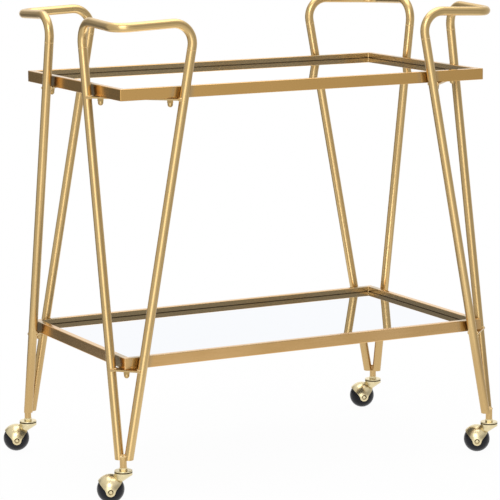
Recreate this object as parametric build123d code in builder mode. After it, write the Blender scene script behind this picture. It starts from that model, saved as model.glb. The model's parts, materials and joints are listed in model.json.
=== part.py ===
"""Two-shelf rolling bar cart with mirrored trays, four bent-tube corner legs and hooded ball casters.

Millimetres, +Z up, X along the long side of the trays, floor at Z = 0. The origin lies on the floor,
in the middle of the cart's bounding box.
"""
import os
from math import cos, radians, sin, sqrt, tan

from build123d import *

os.makedirs("parts", exist_ok=True)

# Trays
tray_length = 711.0
tray_width = 400.0
rail_width = 12.0
rail_height = 20.0
rail_wall = 1.2
rail_inner_radius = 0.3
mitre_edge_radius = 1.2
top_rim_height = 700.5
lower_rim_height = 245.0

# Mirror shelves and the ledge frames that carry them
mirror_thickness = 4.0
mirror_recess = 9.4
mirror_side_clearance = 0.5
mirror_chamfer = 0.6
ledge_width = 12.0
ledge_thickness = 1.5

# Leg loops: one bent tube makes both legs and the handle of a corner
tube_diameter = 16.0
tube_wall = 1.2
handle_rise = 108.0
handle_corner_drop = 6.0
bend_radius = 34.0
handle_corner_radius = 28.5
leg_gap_at_rim = 3.1
leg_gap_at_foot = 5.5
leg_reach_at_rim = 115.8
foot_height = 73.0
foot_gap = 0.8

# Sleeve welded into the crotch of each foot, bored for the caster stem
sleeve_diameter = 12.0
sleeve_above_foot = 6.0
sleeve_proud = 3.2
weld_gap = 0.05

# Flat bars across the corners, welded to the legs, that the trays stand on
bar_width = 20.0
bar_thickness = 3.0
bar_pad_margin = 3.5

# Studs and cap nuts
stud_diameter = 6.0
stud_head_height = 2.0
stud_head_side_clearance = 0.2
stud_hole_clearance = 0.2
stud_end_depth = 8.5
thread_clearance = 0.05
nut_across_flats = 10.0
nut_hex_height = 5.0
nut_dome_diameter = 9.4
nut_height = 12.5
nut_bore_depth = 9.5

# Caster stem and swivel bearing
stem_diameter = 8.0
stem_engagement = 17.0
stem_end_chamfer = 1.0
collar_across_flats = 12.0
collar_height = 4.5
kingpin_diameter = 7.0
kingpin_clearance = 0.05
kingpin_head_diameter = 11.0
kingpin_head_height = 1.6
kingpin_head_chamfer = 0.7
kingpin_end_play = 0.2
race_diameter = 31.0
race_thickness = 2.2
race_edge_radius = 0.9
race_gap = 1.0
race_ball_diameter = 3.0
race_ball_count = 8
race_pitch_radius = 11.0
race_ball_clearance = 0.25
cup_depth = 4.6
cup_floor = 2.0
pressing_wall = 1.5

# Hood, axle and ball wheel
ball_diameter = 47.0
hood_clearance = 1.0
hood_crown_overlap = 1.6
trail = 22.0
horn_angle = 48.0
horn_end_depth = 4.5
horn_end_rise = 2.0
horn_end_half_height = 8.0
horn_end_half_width = 13.0
flap_tip_radius = 8.0
flap_slope = 47.0
flap_shoulder_angle = 36.0
flap_waist = 1.9
flap_tip_angle = 20.0
flap_fillet = 10.0
axle_diameter = 4.0
axle_clearance = 0.05
axle_head_diameter = 6.4
axle_head_height = 0.9
hub_flat_depth = 2.2
hub_side_clearance = 0.3
hub_edge_radius = 1.2
dimple_radius = 4.2
dimple_wall = 1.2
dimple_floor = 1.5

# Directions in which the four casters trail as the cart stands, in degrees from +X
trail_directions = {
    "front_left": 156.0,
    "front_right": 149.0,
    "back_right": 161.0,
    "back_left": 160.0,
}
corner_signs = {
    "front_left": (-1, -1),
    "front_right": (1, -1),
    "back_right": (1, 1),
    "back_left": (-1, 1),
}

# Sizes that follow from the ones above
half_length = tray_length / 2
half_width = tray_width / 2
tube_radius = tube_diameter / 2
handle_height = top_rim_height + handle_rise
foot_outset = tube_radius + leg_gap_at_foot
rim_outset = tube_radius + leg_gap_at_rim
foot_setback = (tube_diameter + foot_gap) / sqrt(2) - foot_outset
ball_radius = ball_diameter / 2
hood_inner_radius = ball_radius + hood_clearance
hood_outer_radius = hood_inner_radius + pressing_wall
hub_half_width = ball_radius - hub_flat_depth
cup_top = -race_thickness - race_gap
cup_bottom = cup_top - cup_depth
race_ball_height = -race_thickness - race_gap / 2
ball_drop = hood_outer_radius - hood_crown_overlap - cup_bottom
wheel_centre = Vector(trail, 0, -ball_drop)
race_top_height = ball_radius + ball_drop
sleeve_bottom = race_top_height + collar_height
sleeve_top = foot_height + sleeve_above_foot
rail_outer_radius = rail_inner_radius + rail_wall
stud_line = rail_width / 2
stud_head_diameter = rail_width - 2 * rail_wall - 2 * stud_head_side_clearance


def leg_offsets(height):
    """Outset from the tray side and setback from the tray corner of a leg's centre line at a height."""
    share = (height - foot_height) / (top_rim_height - foot_height)
    outset = foot_outset + (rim_outset - foot_outset) * share
    setback = foot_setback + (leg_reach_at_rim - foot_setback) * share
    return outset, setback


def side_leg_point(height):
    """Centre of the leg outside the short side, at the corner where X and Y are positive."""
    outset, setback = leg_offsets(height)
    return Vector(half_length + outset, half_width - setback, height)


def long_leg_point(height):
    """Centre of the leg outside the long side, at the corner where X and Y are positive."""
    outset, setback = leg_offsets(height)
    return Vector(half_length - setback, half_width + outset, height)


def to_corner(piece, signs):
    """A copy of a piece of the positive corner, mirrored to another corner."""
    if signs[0] < 0:
        piece = mirror(piece, about=Plane.YZ)
    if signs[1] < 0:
        piece = mirror(piece, about=Plane.XZ)
    return piece


side_leg_direction = (side_leg_point(top_rim_height) - side_leg_point(foot_height)).normalized()
long_leg_direction = (long_leg_point(top_rim_height) - long_leg_point(foot_height)).normalized()
foot_middle = (side_leg_point(foot_height) + long_leg_point(foot_height)) * 0.5
stem_x = foot_middle.X + sleeve_proud
stem_y = foot_middle.Y + sleeve_proud
top_bar_height = top_rim_height - rail_height - bar_thickness
lower_bar_height = lower_rim_height - rail_height - bar_thickness
top_bar_outset, top_bar_setback = leg_offsets(top_bar_height)
top_stud_reach = top_bar_setback - top_bar_outset - stud_line

pieces = {}


# Trays: mitred rails, ledge frames and mirrors
def rail(span, depth, rim_height, hole_points):
    """Rail along X, its outer face at Y = depth, with mitred ends and holes in its bottom wall."""
    bottom = rim_height - rail_height
    with BuildPart() as bar:
        with BuildSketch(Plane.YZ.offset(-span / 2)):
            with Locations((depth - rail_width / 2, bottom + rail_height / 2)):
                RectangleRounded(rail_width, rail_height, rail_outer_radius)
                RectangleRounded(
                    rail_width - 2 * rail_wall,
                    rail_height - 2 * rail_wall,
                    rail_inner_radius,
                    mode=Mode.SUBTRACT,
                )
        extrude(amount=span)
        with BuildSketch(Plane.XY.offset(bottom)):
            with BuildLine():
                Polyline(
                    (-span / 2, depth),
                    (span / 2, depth),
                    (span / 2 - rail_width, depth - rail_width),
                    (-span / 2 + rail_width, depth - rail_width),
                    close=True,
                )
            make_face()
            RectangleRounded(span, 2 * depth, mitre_edge_radius, mode=Mode.INTERSECT)
        extrude(amount=rail_height, mode=Mode.INTERSECT)
        with BuildSketch(Plane.XY.offset(bottom)):
            with Locations(*hole_points):
                Circle(stud_diameter / 2 + stud_hole_clearance)
        extrude(amount=rail_wall, mode=Mode.SUBTRACT)
    return bar.part


def tray(prefix, rim_height, studs_at_mitres):
    """The four rails, the ledge frame and the mirror of one tray."""
    for side, span, depth, turn in (
        ("back_rail", tray_length, half_width, 0),
        ("left_rail", tray_width, half_length, 90),
        ("front_rail", tray_length, half_width, 180),
        ("right_rail", tray_width, half_length, 270),
    ):
        reach = stud_line if studs_at_mitres else top_stud_reach
        stud_x = span / 2 - reach
        holes = [(stud_x, depth - stud_line), (-stud_x, depth - stud_line)]
        pieces[f"{prefix}_{side}"] = rail(span, depth, rim_height, holes).rotate(Axis.Z, turn)

    opening_length = tray_length - 2 * rail_width
    opening_width = tray_width - 2 * rail_width
    mirror_top = rim_height - mirror_recess
    ledge_top = mirror_top - mirror_thickness
    with BuildPart() as ledge:
        with BuildSketch(Plane.XY.offset(ledge_top - ledge_thickness)):
            Rectangle(opening_length, opening_width)
            Rectangle(opening_length - 2 * ledge_width, opening_width - 2 * ledge_width, mode=Mode.SUBTRACT)
        extrude(amount=ledge_thickness)
    pieces[f"{prefix}_ledge"] = ledge.part

    with BuildPart() as shelf:
        with BuildSketch(Plane.XY.offset(ledge_top)):
            Rectangle(
                opening_length - 2 * mirror_side_clearance,
                opening_width - 2 * mirror_side_clearance,
            )
        extrude(amount=mirror_thickness)
        chamfer(shelf.faces().sort_by(Axis.Z)[-1].edges(), mirror_chamfer)
    pieces[f"{prefix}_mirror"] = shelf.part


tray("top", top_rim_height, studs_at_mitres=False)
tray("lower", lower_rim_height, studs_at_mitres=True)


# Leg loops: hollow tube swept up one leg, round the tray corner as the handle and down the other leg
def leg_loop():
    """The loop of the positive corner, its ends cut level and coped round the sleeve."""
    lead = tube_radius * (leg_reach_at_rim - foot_setback) / (top_rim_height - foot_height)
    start = side_leg_point(foot_height) - side_leg_direction * (lead + weld_gap)
    end = long_leg_point(foot_height) - long_leg_direction * (lead + weld_gap)
    side_top = side_leg_point(handle_height)
    long_top = long_leg_point(handle_height)
    handle_corner = Vector(side_top.X, long_top.Y, handle_height - handle_corner_drop)
    with BuildPart() as loop:
        with BuildLine() as path:
            FilletPolyline(
                start,
                side_top,
                handle_corner,
                long_top,
                end,
                radius=[bend_radius, handle_corner_radius, bend_radius],
            )
        with BuildSketch(Plane(origin=start, z_dir=side_leg_direction)):
            Circle(tube_radius)
            Circle(tube_radius - tube_wall, mode=Mode.SUBTRACT)
        sweep(path=path.line)
        split(bisect_by=Plane.XY.offset(foot_height), keep=Keep.TOP)
        with BuildSketch(Plane.XY.offset(foot_height)):
            with Locations((stem_x, stem_y)):
                Circle(sleeve_diameter / 2 + weld_gap)
        extrude(amount=sleeve_above_foot + weld_gap, mode=Mode.SUBTRACT)
    return loop.part


def stem_sleeve():
    """Sleeve of the positive corner, upright so that the caster swivels level."""
    with BuildPart() as sleeve:
        with BuildSketch(Plane.XY.offset(sleeve_bottom)):
            with Locations((stem_x, stem_y)):
                Circle(sleeve_diameter / 2)
                Circle(stem_diameter / 2 + thread_clearance, mode=Mode.SUBTRACT)
        extrude(amount=sleeve_top - sleeve_bottom)
    return sleeve.part


# Casters, built with the swivel axis on Z, the top of the upper race at Z = 0 and the wheel towards +X
def caster_stem():
    """Screwed shank, hexagon collar, kingpin and the head that rivets it under the cup."""
    head_top = cup_top - cup_floor - kingpin_end_play
    with BuildPart() as stem:
        with BuildSketch():
            RegularPolygon(collar_across_flats / 2, 6, major_radius=False)
        extrude(amount=collar_height)
        with BuildSketch(Plane.XY.offset(collar_height)):
            Circle(stem_diameter / 2)
        extrude(amount=stem_engagement)
        with BuildSketch():
            Circle(kingpin_diameter / 2)
        extrude(amount=head_top)
        with BuildSketch(Plane.XY.offset(head_top)):
            Circle(kingpin_head_diameter / 2)
        extrude(amount=-kingpin_head_height)
        chamfer(stem.faces().sort_by(Axis.Z)[-1].edges(), stem_end_chamfer)
        chamfer(stem.faces().sort_by(Axis.Z)[0].edges(), kingpin_head_chamfer)
    return stem.part


def race_groove():
    """Ring that the race balls run in, to cut from both races."""
    with BuildPart() as groove:
        with BuildSketch(Plane.XZ):
            with Locations((race_pitch_radius, race_ball_height)):
                RegularPolygon(race_ball_diameter / 2 + race_ball_clearance, 8, major_radius=False)
        revolve(axis=Axis.Z)
    return groove.part


def upper_race():
    """Flat disc clamped under the collar, with a rounded rim and the upper half of the groove."""
    with BuildPart() as disc:
        with BuildSketch(Plane.XY.offset(-race_thickness)):
            Circle(race_diameter / 2)
            Circle(kingpin_diameter / 2 + kingpin_clearance, mode=Mode.SUBTRACT)
        extrude(amount=race_thickness)
        rim = disc.edges().filter_by(GeomType.CIRCLE).group_by(SortBy.RADIUS)[-1]
        fillet(rim, race_edge_radius)
        add(race_groove(), mode=Mode.SUBTRACT)
    return disc.part


def race_balls():
    """The ring of loose balls between the races."""
    with BuildPart() as balls:
        with Locations(Location((0, 0, race_ball_height))):
            with PolarLocations(race_pitch_radius, race_ball_count):
                Sphere(race_ball_diameter / 2)
    return balls.part


def hood_shell():
    """Spherical shell with two flaps that taper to round tips at the axle."""
    steepness = tan(radians(flap_slope))
    shoulder = radians(flap_shoulder_angle)
    shoulder_x = hood_outer_radius * cos(shoulder)
    shoulder_z = hood_outer_radius * sin(shoulder)
    tip = radians(flap_tip_angle)
    far = (hood_outer_radius, shoulder_z + (hood_outer_radius - shoulder_x) * steepness)
    waist = (shoulder_x - (shoulder_z - flap_waist) / steepness, flap_waist)
    tip_start = (flap_tip_radius * cos(tip), -flap_tip_radius * sin(tip))
    centre_plane = Plane(origin=wheel_centre, x_dir=(1, 0, 0), z_dir=(0, -1, 0))
    with BuildPart() as shell:
        with Locations(Location(wheel_centre)):
            Sphere(hood_outer_radius)
        with BuildSketch(centre_plane):
            with BuildLine():
                right = FilletPolyline(far, waist, tip_start, radius=flap_fillet)
                mirror(right, about=Plane.YZ)
                ThreePointArc(tip_start, (0, -flap_tip_radius), (-tip_start[0], tip_start[1]))
                Polyline(far, (far[0], hood_outer_radius), (-far[0], hood_outer_radius), (-far[0], far[1]))
            make_face()
        extrude(amount=hood_outer_radius, both=True, mode=Mode.INTERSECT)
    return shell.part


def horn(inset):
    """Solid horn from the cup's bottom down into the hood, its outline drawn in by an inset."""
    lean = radians(horn_angle)
    towards_hood = Vector(cos(lean), 0, -sin(lean))
    upwards = Vector(sin(lean), 0, cos(lean))
    end_centre = wheel_centre - towards_hood * (hood_outer_radius - horn_end_depth) + upwards * horn_end_rise
    with BuildPart() as body:
        with BuildSketch(Plane(origin=(0, 0, cup_bottom), x_dir=(1, 0, 0), z_dir=(0, 0, -1))):
            Circle(race_diameter / 2 - inset)
        with BuildSketch(Plane(origin=end_centre, x_dir=upwards, z_dir=towards_hood)):
            Ellipse(horn_end_half_height - inset, horn_end_half_width - inset)
        loft()
    return body.part


def swivel_hood():
    """Race cup, hollow horn and hood as one pressing, dimpled round the axle."""
    cup_radius = race_diameter / 2
    boss_inner = hub_half_width + hub_side_clearance
    boss_outer = sqrt(hood_inner_radius**2 - (dimple_radius + dimple_wall) ** 2) + pressing_wall / 2
    with BuildPart() as hood:
        add(hood_shell())
        with BuildSketch(Plane.XY.offset(cup_bottom)):
            Circle(cup_radius)
        extrude(amount=cup_depth)
        add(horn(0))
        with Locations(Location(wheel_centre)):
            Sphere(hood_inner_radius, mode=Mode.SUBTRACT)
        with BuildSketch(Plane.XY.offset(cup_bottom)):
            Circle(cup_radius - pressing_wall)
        extrude(amount=cup_depth - cup_floor, mode=Mode.SUBTRACT)
        add(horn(pressing_wall), mode=Mode.SUBTRACT)
        for side in (1, -1):
            axle_plane = Plane(origin=wheel_centre, x_dir=(1, 0, 0), z_dir=(0, side, 0))
            with BuildSketch(axle_plane.offset(boss_inner)):
                Circle(dimple_radius + dimple_wall)
            extrude(amount=boss_outer - boss_inner)
            with BuildSketch(axle_plane.offset(boss_inner + dimple_floor)):
                Circle(dimple_radius)
            extrude(amount=hood_outer_radius, mode=Mode.SUBTRACT)
            with BuildSketch(axle_plane):
                Circle(axle_diameter / 2 + axle_clearance)
            extrude(amount=hood_outer_radius, mode=Mode.SUBTRACT)
        with BuildSketch(Plane.XY.offset(cup_bottom)):
            Circle(kingpin_diameter / 2 + kingpin_clearance)
        extrude(amount=cup_depth, mode=Mode.SUBTRACT)
        add(race_groove(), mode=Mode.SUBTRACT)
    return hood.part


def wheel_axle():
    """Pin through both dimples, with a peened head in each."""
    head_start = hub_half_width + hub_side_clearance + dimple_floor
    centre_plane = Plane(origin=wheel_centre, x_dir=(1, 0, 0), z_dir=(0, 1, 0))
    with BuildPart() as axle:
        with BuildSketch(centre_plane):
            Circle(axle_diameter / 2)
        extrude(amount=head_start, both=True)
        for side in (1, -1):
            with BuildSketch(centre_plane.offset(side * head_start)):
                Circle(axle_head_diameter / 2)
            extrude(amount=side * axle_head_height)
        fillet(axle.faces().sort_by(Axis.Y)[0].edges(), axle_head_height / 2)
        fillet(axle.faces().sort_by(Axis.Y)[-1].edges(), axle_head_height / 2)
    return axle.part


def ball_wheel():
    """Ball with a flat and an eased edge at each end of its bore."""
    centre_plane = Plane(origin=wheel_centre, x_dir=(1, 0, 0), z_dir=(0, 1, 0))
    with BuildPart() as wheel:
        with Locations(Location(wheel_centre)):
            Sphere(ball_radius)
        with BuildSketch(centre_plane.offset(-hub_half_width)):
            Circle(ball_radius)
        extrude(amount=2 * hub_half_width, mode=Mode.INTERSECT)
        fillet(wheel.edges().filter_by(GeomType.CIRCLE), hub_edge_radius)
        with BuildSketch(centre_plane.offset(-hub_half_width)):
            Circle(axle_diameter / 2 + axle_clearance)
        extrude(amount=2 * hub_half_width, mode=Mode.SUBTRACT)
    return wheel.part


# Corner bars, studs and cap nuts
def leg_cut(point, direction):
    """Space that a leg takes, a hair wider, to notch a bar round it."""
    with BuildPart() as space:
        with BuildSketch(Plane(origin=point, z_dir=direction)):
            Circle(tube_radius + weld_gap)
        extrude(amount=tube_diameter, both=True)
    return space.part


def corner_bar(height, stud_points):
    """Flat bar of the positive corner from leg to leg, notched round both, with a pad round each stud."""
    side_point = side_leg_point(height)
    long_point = long_leg_point(height)
    run = long_point - side_point
    middle = (side_point + long_point) * 0.5
    with BuildPart() as bar:
        with BuildSketch(Plane(origin=middle, x_dir=run)):
            Rectangle(run.length, bar_width)
        with BuildSketch(Plane.XY.offset(height)):
            with Locations(*stud_points):
                Circle(stud_diameter / 2 + stud_hole_clearance + bar_pad_margin)
        extrude(amount=bar_thickness)
        with BuildSketch(Plane.XY.offset(height)):
            with Locations(*stud_points):
                Circle(stud_diameter / 2 + stud_hole_clearance)
        extrude(amount=bar_thickness, mode=Mode.SUBTRACT)
        add(leg_cut(side_point, side_leg_direction), mode=Mode.SUBTRACT)
        add(leg_cut(long_point, long_leg_direction), mode=Mode.SUBTRACT)
    return bar.solids().sort_by(SortBy.VOLUME)[-1]


def top_lugs():
    """The bar under the top tray; its two ends are the lugs that the long and the short rail stand on."""
    side_stud = (half_length - stud_line, half_width - top_stud_reach)
    long_stud = (half_length - top_stud_reach, half_width - stud_line)
    return corner_bar(top_bar_height, [side_stud, long_stud])


def lower_gusset():
    """The short bar under the lower tray, with one stud through the tray's corner."""
    return corner_bar(lower_bar_height, [(half_length - stud_line, half_width - stud_line)])


def stud():
    """Headed stud, the underside of its head at Z = 0."""
    with BuildPart() as pin:
        with BuildSketch():
            Circle(stud_head_diameter / 2)
        extrude(amount=stud_head_height)
        with BuildSketch():
            Circle(stud_diameter / 2)
        extrude(amount=-(rail_wall + bar_thickness + stud_end_depth))
    return pin.part


def cap_nut():
    """Hexagon nut with a domed cap, its seat at Z = 0, opening upwards."""
    dome_radius = nut_dome_diameter / 2
    with BuildPart() as nut:
        with BuildSketch():
            RegularPolygon(nut_across_flats / 2, 6, major_radius=False)
        extrude(amount=-nut_hex_height)
        with BuildSketch(Plane.XZ):
            with BuildLine():
                Polyline((0, -nut_height), (0, -nut_hex_height), (dome_radius, -nut_hex_height))
                Line((dome_radius, -nut_hex_height), (dome_radius, dome_radius - nut_height))
                RadiusArc((dome_radius, dome_radius - nut_height), (0, -nut_height), dome_radius)
            make_face()
        revolve(axis=Axis.Z)
        with BuildSketch():
            Circle(stud_diameter / 2 + thread_clearance)
        extrude(amount=-nut_bore_depth, mode=Mode.SUBTRACT)
    return nut.part


top_stud_points = [
    (x_sign * (half_length - from_end), y_sign * (half_width - from_side))
    for x_sign, y_sign in corner_signs.values()
    for from_end, from_side in ((stud_line, top_stud_reach), (top_stud_reach, stud_line))
]
lower_stud_points = [
    (x_sign * (half_length - stud_line), y_sign * (half_width - stud_line))
    for x_sign, y_sign in corner_signs.values()
]
for prefix, bar_height, points in (
    ("top", top_bar_height, top_stud_points),
    ("lower", lower_bar_height, lower_stud_points),
):
    with BuildPart() as studs:
        with Locations(*[(x, y, bar_height + bar_thickness + rail_wall) for x, y in points]):
            add(stud())
    pieces[f"{prefix}_studs"] = studs.part
    with BuildPart() as cap_nuts:
        with Locations(*[(x, y, bar_height) for x, y in points]):
            add(cap_nut())
    pieces[f"{prefix}_cap_nuts"] = cap_nuts.part

# One loop, sleeve, pair of lugs, gusset and caster, repeated at the four corners
corner_pieces = {
    "leg_loop": leg_loop(),
    "stem_sleeve": stem_sleeve(),
    "top_lugs": top_lugs(),
    "lower_gusset": lower_gusset(),
}
caster_pieces = {
    "caster_stem": caster_stem(),
    "upper_race": upper_race(),
    "race_balls": race_balls(),
    "swivel_hood": swivel_hood(),
    "wheel_axle": wheel_axle(),
    "ball_wheel": ball_wheel(),
}
for corner, signs in corner_signs.items():
    for name, piece in corner_pieces.items():
        pieces[f"{corner}_{name}"] = to_corner(piece, signs)
    swivel_point = Vector(stem_x * signs[0], stem_y * signs[1], race_top_height)
    for name, piece in caster_pieces.items():
        turn = Location(swivel_point, (0, 0, trail_directions[corner]))
        pieces[f"{corner}_{name}"] = piece.moved(turn)

# The casters trail to one side, so the trays stand a little off the middle of the whole cart
boxes = [piece.bounding_box() for piece in pieces.values()]
middle_x = (min(box.min.X for box in boxes) + max(box.max.X for box in boxes)) / 2
middle_y = (min(box.min.Y for box in boxes) + max(box.max.Y for box in boxes)) / 2
for name, shape in pieces.items():
    with BuildPart() as piece:
        with Locations((-middle_x, -middle_y, 0)):
            add(shape)
    piece.part.label = name
    export_step(piece.part, f"parts/{name}.step")
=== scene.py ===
"""Looks of the two-shelf bar cart: satin gold frame, mirror shelves and polished ball casters.

Metres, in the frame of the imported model: floor at Z = 0, X along the trays, Y towards the back.
"""
import json
import math

import bpy
from mathutils import Matrix, Vector


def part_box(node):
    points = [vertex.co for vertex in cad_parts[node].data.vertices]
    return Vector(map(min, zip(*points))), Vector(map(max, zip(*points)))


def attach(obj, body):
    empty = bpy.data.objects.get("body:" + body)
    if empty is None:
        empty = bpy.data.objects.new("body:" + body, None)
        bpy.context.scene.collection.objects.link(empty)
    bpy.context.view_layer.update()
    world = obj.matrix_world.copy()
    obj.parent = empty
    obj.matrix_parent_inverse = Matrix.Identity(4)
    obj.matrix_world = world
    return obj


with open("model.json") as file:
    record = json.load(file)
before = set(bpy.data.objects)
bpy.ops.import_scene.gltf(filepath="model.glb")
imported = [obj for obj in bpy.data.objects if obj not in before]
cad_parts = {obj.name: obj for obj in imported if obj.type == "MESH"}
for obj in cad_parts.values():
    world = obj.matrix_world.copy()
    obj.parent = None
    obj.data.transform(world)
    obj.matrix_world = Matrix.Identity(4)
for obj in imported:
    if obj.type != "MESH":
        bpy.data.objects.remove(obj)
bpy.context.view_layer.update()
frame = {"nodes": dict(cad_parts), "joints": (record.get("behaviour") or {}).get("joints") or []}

# Camera, worked out from the tray edges in the photograph; its place is from the middle of the trays
tray_low, tray_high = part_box("top_mirror")
tray_middle = (tray_low + tray_high) / 2
camera_place = Vector((tray_middle.x - 2.082944, tray_middle.y - 4.008651, 1.1207))
camera_yaw = math.radians(27.3147)
camera_pitch = math.radians(9.4)
camera_roll = math.radians(-0.4729)
camera_lens = 181.996
sensor_width = 36.0
camera_reach = 50.0

# Finishes, as linear colours
tube_plating = (0.74, 0.53, 0.245)
tube_plating_deep = (0.63, 0.435, 0.19)
# Darker colour round the sleeves, and painted shade low on the legs
foot_shade_plating = (0.58, 0.385, 0.17)
rail_plating = (0.735, 0.447, 0.157)
rail_plating_deep = (0.63, 0.372, 0.12)
# Painted light: a paler copy of the rail plating for the lower tray
lit_low_rail_plating = (0.87, 0.57, 0.275)
# Painted shade for the rails' inner walls and for the strips behind the legs
wall_shade_plating = (0.47, 0.35, 0.19)
# Painted shade for the dark line on a rail's inner wall where a mirror meets it
seam_shade_plating = (0.13, 0.09, 0.045)
caster_brass = (0.86, 0.765, 0.495)
caster_brass_deep = (0.75, 0.605, 0.335)
# Painted shade for the dimples round the axle heads and the gap between the races
recess_shade = (0.09, 0.055, 0.02)
nut_plating = (0.66, 0.47, 0.22)
nut_plating_deep = (0.50, 0.34, 0.13)
weld_plating = (0.88, 0.70, 0.42)
silvering = (0.815, 0.835, 0.87)
mirror_backing = (0.10, 0.105, 0.11)
ball_black = (0.004, 0.004, 0.006)
ball_scuffed = (0.012, 0.012, 0.016)
race_steel = (0.55, 0.55, 0.57)
race_steel_bright = (0.7, 0.7, 0.71)

# Roughness of the plating, and how far the polishing lines stretch and stand out
tube_sheen = 0.235
rail_sheen = 0.15
tube_line_stretch = 0.12
rail_line_stretch = 0.06
line_relief = 0.012
line_depth = 0.0004

# Where the finishes and their painted shade change; each fade is given by its start and its end
seam_shade_height = 0.0011
inner_wall_margin = 0.0002
behind_leg_fade = (0.010, 0.026)
between_trays = 0.4
foot_shade_fade = (0.16, 0.25)
foot_shade_right_fade = (-0.25, -0.1)
foot_shade_back_fade = (-0.05, 0.05)
sleeve_darkening_fade = (0.070, 0.080)
race_gap_depths = (0.0018, 0.0038)
axle_ring_radii = (0.0027, 0.0048)
axle_ring_fade = (-0.002, 0.001)

# How much of the painted shade shows below an axle head, and the Z of a normal under which a face is an
# underside
axle_ring_low_shade = 0.4
underside_normal = -0.5

# Studio
floor_radius = 1.0
floor_sides = 96
floor_fade_start = 0.6
floor_white = 0.86
floor_glow = 0.97
plain_wall = 0.76

# Legs, bars and sleeves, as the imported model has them
half_length = 0.3555
half_width = 0.2
tube_radius = 0.008
foot_height = 0.073
rim_height = 0.7005
foot_outset = 0.0135
rim_outset = 0.0111
foot_setback = -0.00162
rim_setback = 0.1158
handle_joint_height = 0.7605
bar_bottoms = (0.6775, 0.2220)
bar_thickness = 0.003
sleeve_radius = 0.006
corner_signs = {"front_left": (-1, -1), "front_right": (1, -1), "back_right": (1, 1), "back_left": (-1, 1)}

# Runs of beads: the radius and spacing of each kind of bead
weld_bead = (0.0013, 0.0011)
sleeve_bead = (0.0020, 0.0015)
joint_bead = (0.0005, 0.0006)
seam_bead = (0.0009, 0.0006)

# How beads vary in size, and how flat they are along their run
bead_sizes = (0.85, 1.15)
bead_squash = 0.7
bead_seed = 7

# Where the runs lie; each ring on a sleeve is given by its radius and its height above the sleeve
weld_arc_degrees = range(-84, 85, 12)
weld_outset = 0.0004
weld_lift = 0.0002
sleeve_weld_rings = ((sleeve_radius - 0.0012, 0.0004), (0.0018, 0.0022))
sleeve_weld_sides = 16
joint_ring_sides = 24
joint_way_step = 0.01
seam_rim_gap = 0.0012


class Signal:
    """An output socket of a node tree; arithmetic on signals and numbers adds Math nodes."""

    def __init__(self, tree, socket):
        self.tree = tree
        self.socket = socket

    def beside(self, name):
        """Another output of the same node."""
        return Signal(self.tree, self.socket.node.outputs[name])

    def calculate(self, operation, first, second=0.0):
        """Math node on one or two signals or numbers."""
        node = self.tree.nodes.new("ShaderNodeMath")
        node.operation = operation
        for place, value in zip(node.inputs, (first, second)):
            connect(self.tree, value, place)
        return Signal(self.tree, node.outputs[0])

    def __add__(self, other):
        return self.calculate("ADD", self, other)

    def __radd__(self, other):
        return self.calculate("ADD", other, self)

    def __sub__(self, other):
        return self.calculate("SUBTRACT", self, other)

    def __rsub__(self, other):
        return self.calculate("SUBTRACT", other, self)

    def __mul__(self, other):
        return self.calculate("MULTIPLY", self, other)

    def __rmul__(self, other):
        return self.calculate("MULTIPLY", other, self)

    def __truediv__(self, other):
        return self.calculate("DIVIDE", self, other)

    def __lt__(self, other):
        return self.calculate("LESS_THAN", self, other)

    def __gt__(self, other):
        return self.calculate("GREATER_THAN", self, other)

    def __abs__(self):
        return self.calculate("ABSOLUTE", self)

    def root(self):
        return self.calculate("SQRT", self)

    def larger(self, other):
        return self.calculate("MAXIMUM", self, other)

    def between(self, low, high):
        """1 where the signal lies between two values, else 0."""
        return (self > low) * (self < high)


def connect(tree, value, place):
    """Link a signal to a socket, or set a plain value on it."""
    if isinstance(value, Signal):
        tree.links.new(value.socket, place)
    elif isinstance(value, tuple) and len(value) == 3 and place.type == "RGBA":
        place.default_value = (*value, 1.0)
    else:
        place.default_value = value


class Nodes:
    """Builds the nodes of one tree."""

    def __init__(self, tree):
        self.tree = tree
        tree.nodes.clear()

    def node(self, kind, settings=None, inputs=None, output=0):
        """Add a node: settings first, then its sockets by name or number; gives back one output."""
        node = self.tree.nodes.new(kind)
        for name, value in (settings or {}).items():
            setattr(node, name, value)
        for name, value in (inputs or {}).items():
            connect(self.tree, value, node.inputs[name])
        return Signal(self.tree, node.outputs[output]) if len(node.outputs) else None


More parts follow.
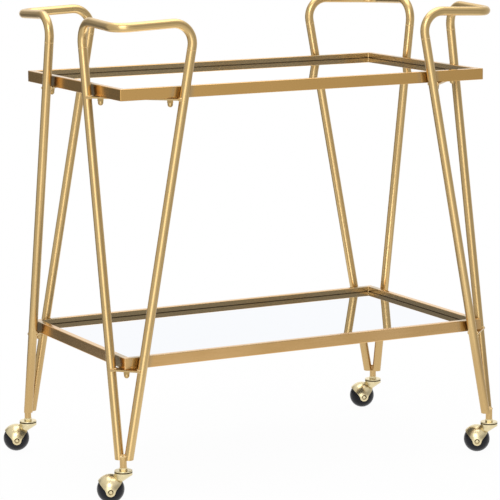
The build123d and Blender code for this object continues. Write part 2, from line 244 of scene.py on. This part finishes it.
class Shader(Nodes):
    """Builds the nodes of one material or world."""

    def __init__(self, owner):
        owner.use_nodes = True
        self.owner = owner
        super().__init__(owner.node_tree)

    def place(self, scale=(1.0, 1.0, 1.0)):
        """Object coordinates, stretched per axis."""
        spot = self.node("ShaderNodeTexCoord", output="Object")
        return self.node("ShaderNodeMapping", None, {"Vector": spot, "Scale": scale})

    def position(self):
        """X, Y and Z of the Object coordinates."""
        spot = self.node("ShaderNodeTexCoord", output="Object")
        x = self.node("ShaderNodeSeparateXYZ", None, {"Vector": spot}, output="X")
        return x, x.beside("Y"), x.beside("Z")

    def step(self, value, start, end, low=0.0):
        """Smooth rise from 0, or another low value, at the start to 1 at the end."""
        return self.node(
            "ShaderNodeMapRange",
            {"interpolation_type": "SMOOTHSTEP"},
            {"Value": value, "From Min": start, "From Max": end, "To Min": low, "To Max": 1.0},
        )

    def noise(self, place, scale, detail=2.0, roughness=0.5):
        return self.node(
            "ShaderNodeTexNoise",
            None,
            {"Vector": place, "Scale": scale, "Detail": detail, "Roughness": roughness},
        )

    def blend(self, factor, first, second):
        """Mix of two colours, which are sockets 6 and 7 of a Mix node; its colour output is number 2."""
        return self.node(
            "ShaderNodeMix",
            {"data_type": "RGBA"},
            {"Factor": factor, 6: first, 7: second},
            output=2,
        )

    def bump(self, height, strength, distance):
        return self.node(
            "ShaderNodeBump",
            None,
            {"Height": height, "Strength": strength, "Distance": distance},
        )

    def surface(self, **sockets):
        """Principled surface from socket names written with underscores."""
        names = {name.replace("_", " "): value for name, value in sockets.items()}
        finish = self.node("ShaderNodeBsdfPrincipled", None, names)
        self.node("ShaderNodeOutputMaterial", None, {"Surface": finish})
        return self.owner


def new_finish(name):
    return Shader(bpy.data.materials.new(name))


# Legs
def along_leg(height, at_foot, at_rim):
    """What changes evenly up a leg, at a height, from its values at the foot and at the top tray's rim."""
    share = (height - foot_height) / (rim_height - foot_height)
    return at_foot + (at_rim - at_foot) * share


def leg_centre(signs, along_side, height):
    """Centre of a leg at a height: along_side picks the leg outside the short side of the trays."""
    outset = along_leg(height, foot_outset, rim_outset)
    setback = along_leg(height, foot_setback, rim_setback)
    if along_side:
        x, y = half_length + outset, half_width - setback
    else:
        x, y = half_length - setback, half_width + outset
    return Vector((signs[0] * x + tray_middle.x, signs[1] * y + tray_middle.y, height))


# Finishes
def rail_masks(finish, along_x):
    """Painted shade on a rail: on its inner walls and behind each leg, and a dark line of painted shade along
    each mirror.
    """
    x, y, z = finish.position()
    x, y = abs(x - tray_middle.x), abs(y - tray_middle.y)
    inner_x = tray_middle.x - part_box("top_left_rail")[1].x
    inner_y = tray_middle.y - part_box("top_front_rail")[1].y
    inside = (x < inner_x + inner_wall_margin) * (y < inner_y + inner_wall_margin)
    # A dark line of painted shade on the inner walls, where each mirror meets them
    by_mirror = sum(abs(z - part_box(f"{tray}_mirror")[1].z) < seam_shade_height for tray in ("top", "lower"))
    setback = along_leg(z, foot_setback, rim_setback)
    to_leg = abs((half_length - setback) - x) if along_x else abs((half_width - setback) - y)
    behind_leg = 1 - finish.step(to_leg, *behind_leg_fade)
    return inside.larger(behind_leg), inside * by_mirror


def foot_shade_mask(finish):
    """Where a tube is darker: round the sleeves, and, as painted shade, low on all legs but the front left
    ones.
    """
    x, y, z = finish.position()
    low = 1 - finish.step(z, *foot_shade_fade)
    right = finish.step(x, *foot_shade_right_fade)
    back = finish.step(y, *foot_shade_back_fade)
    at_sleeve = 1 - finish.step(z, *sleeve_darkening_fade)
    return at_sleeve.larger(low * right.larger(back))


def satin_gold(finish, stretch, plating, plating_deep, sheen, masks=()):
    """Plated steel of a given roughness; stretch draws the faint polishing lines out along one axis."""
    cloud = finish.noise(finish.place(), scale=9.0, detail=3.0)
    lines = finish.noise(finish.place(stretch), scale=260.0, roughness=0.6)
    pores = finish.noise(finish.place(), scale=1500.0, roughness=0.7)
    colour = finish.blend(cloud * 0.7 + lines * 0.3, plating_deep, plating)
    # The masks lay painted shade: on the rails' inner walls and behind the legs, and in a line along each
    # mirror
    for mask, shade_colour in zip(masks, (wall_shade_plating, seam_shade_plating)):
        colour = finish.blend(mask, colour, shade_colour)
    return finish.surface(
        Base_Color=colour,
        Metallic=1.0,
        Roughness=sheen + cloud * 0.05 + lines * 0.07,
        Normal=finish.bump(lines * 0.85 + pores * 0.15, line_relief, line_depth),
    )


def tube_gold():
    """Bent tubes, sleeves and bars, with polishing lines up the legs."""
    finish = new_finish("tube_gold")
    # Darker round the sleeves, and painted shade low on all legs but the front left ones
    plating = finish.blend(foot_shade_mask(finish), tube_plating, foot_shade_plating)
    return satin_gold(finish, (1.0, 1.0, tube_line_stretch), plating, tube_plating_deep, tube_sheen)


def rail_gold(name, along_x):
    """Rails of the long or the short sides, with polishing lines along them; paler on the lower tray as
    painted light.
    """
    finish = new_finish(name)
    stretch = (rail_line_stretch, 1.0, 1.0) if along_x else (1.0, rail_line_stretch, 1.0)
    height = finish.position()[2]
    # Painted light: the lower tray's rails paler than the top tray's
    plating = finish.blend(height < between_trays, rail_plating, lit_low_rail_plating)
    return satin_gold(finish, stretch, plating, rail_plating_deep, rail_sheen, rail_masks(finish, along_x))


def polished_brass(corner):
    """Bright plated caster of one corner, with painted shade round its axle head, darkest above it, and in
    the gap between its races.
    """
    finish = new_finish(f"{corner}_polished_brass")
    roll = next(joint for joint in frame["joints"] if joint["name"] == f"{corner}_roll")
    centre = Vector(roll["pos_m"])
    forwards = Vector(roll["axis"]).cross(Vector((0.0, 0.0, 1.0)))
    x, y, z = finish.position()
    ahead = (x - centre.x) * forwards.x + (y - centre.y) * forwards.y
    up = z - centre.z
    reach = (ahead * ahead + up * up).root()
    # Painted shade: a dark ring round the axle head, darkest above it, and a dark band in the race gap
    ring = reach.between(*axle_ring_radii) * finish.step(up, *axle_ring_fade, low=axle_ring_low_shade)
    race_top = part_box(f"{corner}_upper_race")[1].z
    gap_top, gap_bottom = (race_top - depth for depth in race_gap_depths)
    recess = ring.larger(z.between(gap_bottom, gap_top))
    waves = finish.noise(finish.place(), scale=40.0)
    specks = finish.noise(finish.place(), scale=900.0, detail=3.0, roughness=0.7)
    tint = finish.blend(waves, caster_brass_deep, caster_brass)
    return finish.surface(
        Base_Color=finish.blend(recess, tint, recess_shade),
        Metallic=1.0,
        Roughness=0.23 + waves * 0.05 + specks * 0.04 + recess * 0.2,
        Normal=finish.bump(waves * 0.8 + specks * 0.2, strength=0.01, distance=0.0004),
    )


def marked_gold(name, deep, bright, scale, sheen, relief, depth):
    """Plated metal with small marks, in which it is brighter, rougher and a little raised."""
    finish = new_finish(name)
    marks = finish.noise(finish.place(), scale, detail=3.0, roughness=0.6)
    return finish.surface(
        Base_Color=finish.blend(marks, deep, bright),
        Metallic=1.0,
        Roughness=sheen + marks * 0.12,
        Normal=finish.bump(marks, relief, depth),
    )


def nut_gold():
    """Plated cap nuts and studs, a little deeper in colour than the tubes."""
    return marked_gold("nut_gold", nut_plating_deep, nut_plating, 420.0, sheen=0.2, relief=0.05, depth=0.0003)


def weld_gold():
    """Plated weld beads, brighter where the plating is thick."""
    return marked_gold("weld_gold", tube_plating, weld_plating, 700.0, sheen=0.22, relief=0.15, depth=0.0004)


def mirror_glass():
    """Silvered glass from above and at its edges, painted backing underneath."""
    finish = new_finish("mirror")
    facing = finish.node("ShaderNodeNewGeometry", output="Normal")
    backing = finish.node("ShaderNodeSeparateXYZ", None, {"Vector": facing}, output="Z") < underside_normal
    haze = finish.noise(finish.place(), scale=30.0, detail=4.0, roughness=0.6)
    dust = finish.noise(finish.place(), scale=700.0)
    return finish.surface(
        Base_Color=finish.blend(backing, silvering, mirror_backing),
        Metallic=1.0 - backing,
        Roughness=0.004 + haze * 0.012 + dust * 0.008 + backing * 0.5,
    )


def black_ball():
    """Smooth moulded ball, a little scuffed."""
    finish = new_finish("black_rubber")
    scuffs = finish.noise(finish.place((1.0, 1.0, 4.0)), scale=160.0, detail=4.0, roughness=0.7)
    return finish.surface(
        Base_Color=finish.blend(scuffs, ball_black, ball_scuffed),
        Roughness=0.22 + scuffs * 0.12,
        Specular_IOR_Level=0.22,
        Normal=finish.bump(scuffs, strength=0.03, distance=0.0003),
    )


def ground_steel():
    """Bearing balls, with fine grinding marks."""
    finish = new_finish("bearing_steel")
    marks = finish.noise(finish.place(), scale=1200.0, detail=3.0)
    return finish.surface(
        Base_Color=finish.blend(marks, race_steel, race_steel_bright),
        Metallic=1.0,
        Roughness=0.12 + marks * 0.1,
    )


def dress(material, *endings):
    """Give a finish to every CAD node whose name has one of these endings."""
    for name, piece in frame["nodes"].items():
        if name.endswith(endings):
            piece.data.materials.clear()
            piece.data.materials.append(material)
            for polygon in piece.data.polygons:
                polygon.material_index = 0


dress(tube_gold(), "leg_loop", "stem_sleeve", "top_lugs", "lower_gusset")
dress(rail_gold("long_rail_gold", along_x=True), "front_rail", "back_rail", "ledge")
dress(rail_gold("short_rail_gold", along_x=False), "left_rail", "right_rail")
brass_pieces = ("caster_stem", "upper_race", "swivel_hood", "wheel_axle")
for corner in corner_signs:
    dress(polished_brass(corner), *[f"{corner}_{piece}" for piece in brass_pieces])
dress(nut_gold(), "studs", "cap_nuts")
dress(mirror_glass(), "mirror")
dress(black_ball(), "ball_wheel")
dress(ground_steel(), "race_balls")


# Runs of overlapping beads along paths: welds, handle joints and corner seams
def full_turn(sides):
    """Angles of the corners of a closed ring."""
    return [math.tau * side / sides for side in range(sides + 1)]


def bar_weld_paths():
    """Arcs round each leg where a bar meets it, above and below the bar."""
    reach = tube_radius + weld_outset
    paths = []
    for signs in corner_signs.values():
        for bar_bottom in bar_bottoms:
            for surface, lift in ((bar_bottom, -weld_lift), (bar_bottom + bar_thickness, weld_lift)):
                legs = [leg_centre(signs, side, surface) for side in (True, False)]
                for own, other in (legs, legs[::-1]):
                    inwards = (other - own).normalized()
                    start = math.atan2(inwards.y, inwards.x)
                    turns = [start + math.radians(degrees) for degrees in weld_arc_degrees]
                    paths.append([
                        own + Vector((math.cos(turn) * reach, math.sin(turn) * reach, lift))
                        for turn in turns
                    ])
    return paths


def sleeve_weld_paths():
    """Two rings that close each sleeve's top, between the legs."""
    paths = []
    for corner in corner_signs:
        low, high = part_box(f"{corner}_stem_sleeve")
        middle = (low + high) / 2
        for ring, lift in sleeve_weld_rings:
            paths.append([
                Vector((middle.x + math.cos(turn) * ring, middle.y + math.sin(turn) * ring, high.z + lift))
                for turn in full_turn(sleeve_weld_sides)
            ])
    return paths


def joint_rings():
    """The hairline ring on each leg where the handle's bent part starts."""
    paths = []
    for signs in corner_signs.values():
        for along_side in (True, False):
            centre = leg_centre(signs, along_side, handle_joint_height)
            higher = leg_centre(signs, along_side, handle_joint_height + joint_way_step)
            way = (higher - centre).normalized()
            across = way.orthogonal().normalized()
            other = way.cross(across)
            paths.append([
                centre + (across * math.cos(turn) + other * math.sin(turn)) * tube_radius
                for turn in full_turn(joint_ring_sides)
            ])
    return paths


def seam_paths():
    """The upright seams in the inner corners of both trays, from the mirror to the rim."""
    paths = []
    for signs in corner_signs.values():
        for tray in ("top", "lower"):
            low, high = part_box(f"{tray}_mirror")
            x = tray_middle.x + signs[0] * (high.x - low.x) / 2
            y = tray_middle.y + signs[1] * (high.y - low.y) / 2
            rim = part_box(f"{tray}_front_rail")[1].z
            paths.append([Vector((x, y, high.z)), Vector((x, y, rim - seam_rim_gap))])
    return paths


def bead_tree(material):
    """Tree that lays beads along its input's edges, squashed along the run and jittered in size."""
    tree = bpy.data.node_groups.new("weld_run", "GeometryNodeTree")
    tree.is_modifier = True
    tree.interface.new_socket("Geometry", in_out="INPUT", socket_type="NodeSocketGeometry")
    for name in ("Bead Radius", "Bead Spacing"):
        tree.interface.new_socket(name, in_out="INPUT", socket_type="NodeSocketFloat")
    tree.interface.new_socket("Geometry", in_out="OUTPUT", socket_type="NodeSocketGeometry")
    run = Nodes(tree)
    paths = run.node("NodeGroupInput", output="Geometry")
    radius = paths.beside("Bead Radius")
    spacing = paths.beside("Bead Spacing")
    curve = run.node("GeometryNodeMeshToCurve", None, {"Mesh": paths})
    points = run.node("GeometryNodeResampleCurve", {"mode": "LENGTH"}, {"Curve": curve, "Length": spacing})
    bead = run.node("GeometryNodeMeshIcoSphere", None, {"Radius": radius, "Subdivisions": 2})
    tangent = run.node("GeometryNodeInputTangent")
    turn = run.node("FunctionNodeAlignRotationToVector", {"axis": "X"}, {"Vector": tangent})
    # The limits of a random number are its sockets 2 and 3, and the number is output 1
    smallest, largest = bead_sizes
    limits = {2: smallest, 3: largest, "Seed": bead_seed}
    size = run.node("FunctionNodeRandomValue", {"data_type": "FLOAT"}, limits, output=1)
    shape = run.node("ShaderNodeCombineXYZ", None, {"X": size * bead_squash, "Y": size, "Z": size})
    beads = run.node(
        "GeometryNodeInstanceOnPoints",
        None,
        {"Points": points, "Instance": bead, "Rotation": turn, "Scale": shape},
    )
    whole = run.node("GeometryNodeRealizeInstances", None, {"Geometry": beads})
    smooth = run.node("GeometryNodeSetShadeSmooth", None, {"Geometry": whole})
    finished = run.node("GeometryNodeSetMaterial", None, {"Geometry": smooth, "Material": material})
    run.node("NodeGroupOutput", None, {"Geometry": finished})
    return tree


def grown(name, base, tree, inputs, body):
    """Plain mesh of what a tree makes from a base mesh, riding on a body."""
    holder = bpy.data.objects.new(name + "_paths", base)
    bpy.context.scene.collection.objects.link(holder)
    modifier = holder.modifiers.new("grow", "NODES")
    modifier.node_group = tree
    for socket in tree.interface.items_tree:
        if socket.in_out == "INPUT" and socket.name in inputs:
            modifier[socket.identifier] = inputs[socket.name]
    view = bpy.context.evaluated_depsgraph_get()
    mesh = bpy.data.meshes.new_from_object(holder.evaluated_get(view), depsgraph=view)
    bpy.data.objects.remove(holder)
    piece = bpy.data.objects.new(name, mesh)
    bpy.context.scene.collection.objects.link(piece)
    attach(piece, body)
    return piece


def add_runs(name, paths, tree, bead):
    """One piece of beads along paths, on the cart's frame."""
    vertices, edges = [], []
    for path in paths:
        first = len(vertices)
        vertices += path
        edges += [(first + i, first + i + 1) for i in range(len(path) - 1)]
    base = bpy.data.meshes.new(name + "_paths")
    base.from_pydata(vertices, edges, [])
    radius, spacing = bead
    sizes = {"Bead Radius": radius, "Bead Spacing": spacing}
    grown(name, base, tree, sizes, "cart")


run_of_beads = bead_tree(weld_gold())
add_runs("weld_beads", bar_weld_paths(), run_of_beads, weld_bead)
add_runs("sleeve_welds", sleeve_weld_paths(), run_of_beads, sleeve_bead)
add_runs("handle_joints", joint_rings(), run_of_beads, joint_bead)
add_runs("corner_seams", seam_paths(), run_of_beads, seam_bead)


# Studio: pale floor, white surroundings and soft lamps
def pale_floor():
    """White floor that keeps a light shadow and, to the camera, fades into the backdrop at its rim."""
    finish = new_finish("pale_floor")
    spot = finish.node("ShaderNodeTexCoord", output="Object")
    reach = finish.node("ShaderNodeVectorMath", {"operation": "LENGTH"}, {0: spot}, output="Value")
    rim = finish.step(reach, floor_fade_start, floor_radius, low=floor_glow)
    ray = finish.node("ShaderNodeLightPath", output="Is Camera Ray")
    seen = ray.larger(ray.beside("Is Glossy Ray").larger(ray.beside("Is Transmission Ray")))
    matt = finish.node("ShaderNodeBsdfDiffuse", None, {"Color": (floor_white,) * 3})
    glow = finish.node("ShaderNodeEmission", None, {"Color": (1.0, 1.0, 1.0), "Strength": 1.0})
    mixed = finish.node("ShaderNodeMixShader", None, {0: seen * rim, 1: matt, 2: glow})
    finish.node("ShaderNodeOutputMaterial", None, {"Surface": mixed})
    return finish.owner


def add_floor():
    rim = [
        (floor_radius * math.cos(turn), floor_radius * math.sin(turn), 0.0)
        for turn in full_turn(floor_sides)[:-1]
    ]
    mesh = bpy.data.meshes.new("floor")
    mesh.from_pydata(rim, [], [list(range(floor_sides))])
    mesh.materials.append(pale_floor())
    floor = bpy.data.objects.new("floor", mesh)
    bpy.context.scene.collection.objects.link(floor)


def soft_lamp(name, place, aim, size, power):
    """Rectangular soft box at a place, turned towards a point."""
    lamp = bpy.data.lights.new(name, "AREA")
    lamp.shape = "RECTANGLE"
    lamp.size, lamp.size_y = size
    lamp.energy = power
    holder = bpy.data.objects.new(name, lamp)
    direction = Vector(aim) - Vector(place)
    turn = direction.to_track_quat("-Z", "Y").to_matrix().to_4x4()
    holder.matrix_world = Matrix.Translation(place) @ turn
    holder.visible_camera = False
    bpy.context.scene.collection.objects.link(holder)


class Surroundings(Shader):
    """World whose brightness depends on compass direction and height, like the walls of a studio."""

    def __init__(self, owner):
        super().__init__(owner)
        way = self.node("ShaderNodeTexCoord", output="Generated")
        level_way = self.node("ShaderNodeVectorMath", {"operation": "MULTIPLY"}, {0: way, 1: (1.0, 1.0, 0.0)})
        self.compass = self.node("ShaderNodeVectorMath", {"operation": "NORMALIZE"}, {0: level_way})
        self.height = self.node("ShaderNodeSeparateXYZ", None, {"Vector": way}, output="Z")

    def towards(self, azimuth, inner, outer):
        """1 within an inner angle of a compass direction, fading to 0 at an outer one; all in degrees."""
        turn = math.radians(azimuth)
        along = self.node(
            "ShaderNodeVectorMath",
            {"operation": "DOT_PRODUCT"},
            {0: self.compass, 1: (math.cos(turn), math.sin(turn), 0.0)},
            output="Value",
        )
        return self.step(along, math.cos(math.radians(outer)), math.cos(math.radians(inner)))

    def above(self, start, end):
        """0 below one elevation and 1 above another, in degrees."""
        return self.step(self.height, math.sin(math.radians(start)), math.sin(math.radians(end)))

    def below(self, start, end):
        """1 below one elevation and 0 above another, in degrees."""
        return 1 - self.above(start, end)


def white_surroundings():
    """White to the camera; to the metal, a studio whose walls differ in brightness.

    Seen from the cart the camera is at -117 degrees, so that the faces turned to the front mirror the wall
    near -63, those turned to the left the wall near 117, and the ones turned up the wall near 63.
    """
    world = bpy.data.worlds.new("studio")
    bpy.context.scene.world = world
    sky = Surroundings(world)
    walls = (
        # Left and right of the camera
        (sky.towards(-172, 25, 55), 0.66),
        (sky.towards(-20, 20, 50), 0.6),
        # What the front faces mirror: the second darkens the rails towards their right ends
        (sky.towards(-60, 24, 44) * sky.above(0, 6) * sky.below(25, 45), 0.42),
        (sky.towards(-44, 8, 20) * sky.below(-2, 4), 0.5),
        # What the left faces mirror, below the horizon and above it
        (sky.towards(117, 14, 26) * sky.below(-2, 4), 0.18),
        (sky.towards(117, 12, 24) * sky.above(-2, 4) * sky.below(22, 40), 0.34),
        # Ceiling, and the bright wall behind the cart
        (sky.above(28, 55), 0.85),
        (sky.towards(63, 22, 34) * sky.below(30, 60), 1.08),
        # Bright panels beside the camera, which give the tubes their highlight
        (sky.towards(-122, 6, 23) * sky.above(-45, -20) * sky.below(0, 8), 2.05),
        (sky.towards(-128, 6, 22) * sky.above(0, 8) * sky.below(35, 60), 2.0),
    )
    level = plain_wall
    for mask, brightness in walls:
        level = level * (1 - mask) + mask * brightness
    seen = sky.node("ShaderNodeLightPath", output="Is Camera Ray")
    # The two numbers that a Mix node mixes are its sockets 2 and 3
    strength = sky.node("ShaderNodeMix", {"data_type": "FLOAT"}, {"Factor": seen, 2: level, 3: 1.0})
    light = sky.node("ShaderNodeBackground", None, {"Color": (1.0, 1.0, 1.0), "Strength": strength})
    sky.node("ShaderNodeOutputWorld", None, {"Surface": light})


def add_camera():
    lens = bpy.data.cameras.new("camera")
    lens.lens = camera_lens
    lens.sensor_width = sensor_width
    lens.clip_end = camera_reach
    camera = bpy.data.objects.new("camera", lens)
    turn = (
        Matrix.Rotation(-camera_yaw, 4, "Z")
        @ Matrix.Rotation(math.pi / 2 - camera_pitch, 4, "X")
        @ Matrix.Rotation(camera_roll, 4, "Z")
    )
    camera.matrix_world = Matrix.Translation(camera_place) @ turn
    bpy.context.scene.collection.objects.link(camera)
    bpy.context.scene.camera = camera


add_floor()
soft_lamp("key", place=(-1.7, -2.1, 2.3), aim=(0, 0, 0.4), size=(1.2, 1.2), power=14.0)
soft_lamp("top", place=(0.2, 0.3, 2.6), aim=(0, 0, 0.3), size=(2.2, 2.2), power=26.0)
white_surroundings()
add_camera()
bpy.context.scene.view_settings.view_transform = "Standard"
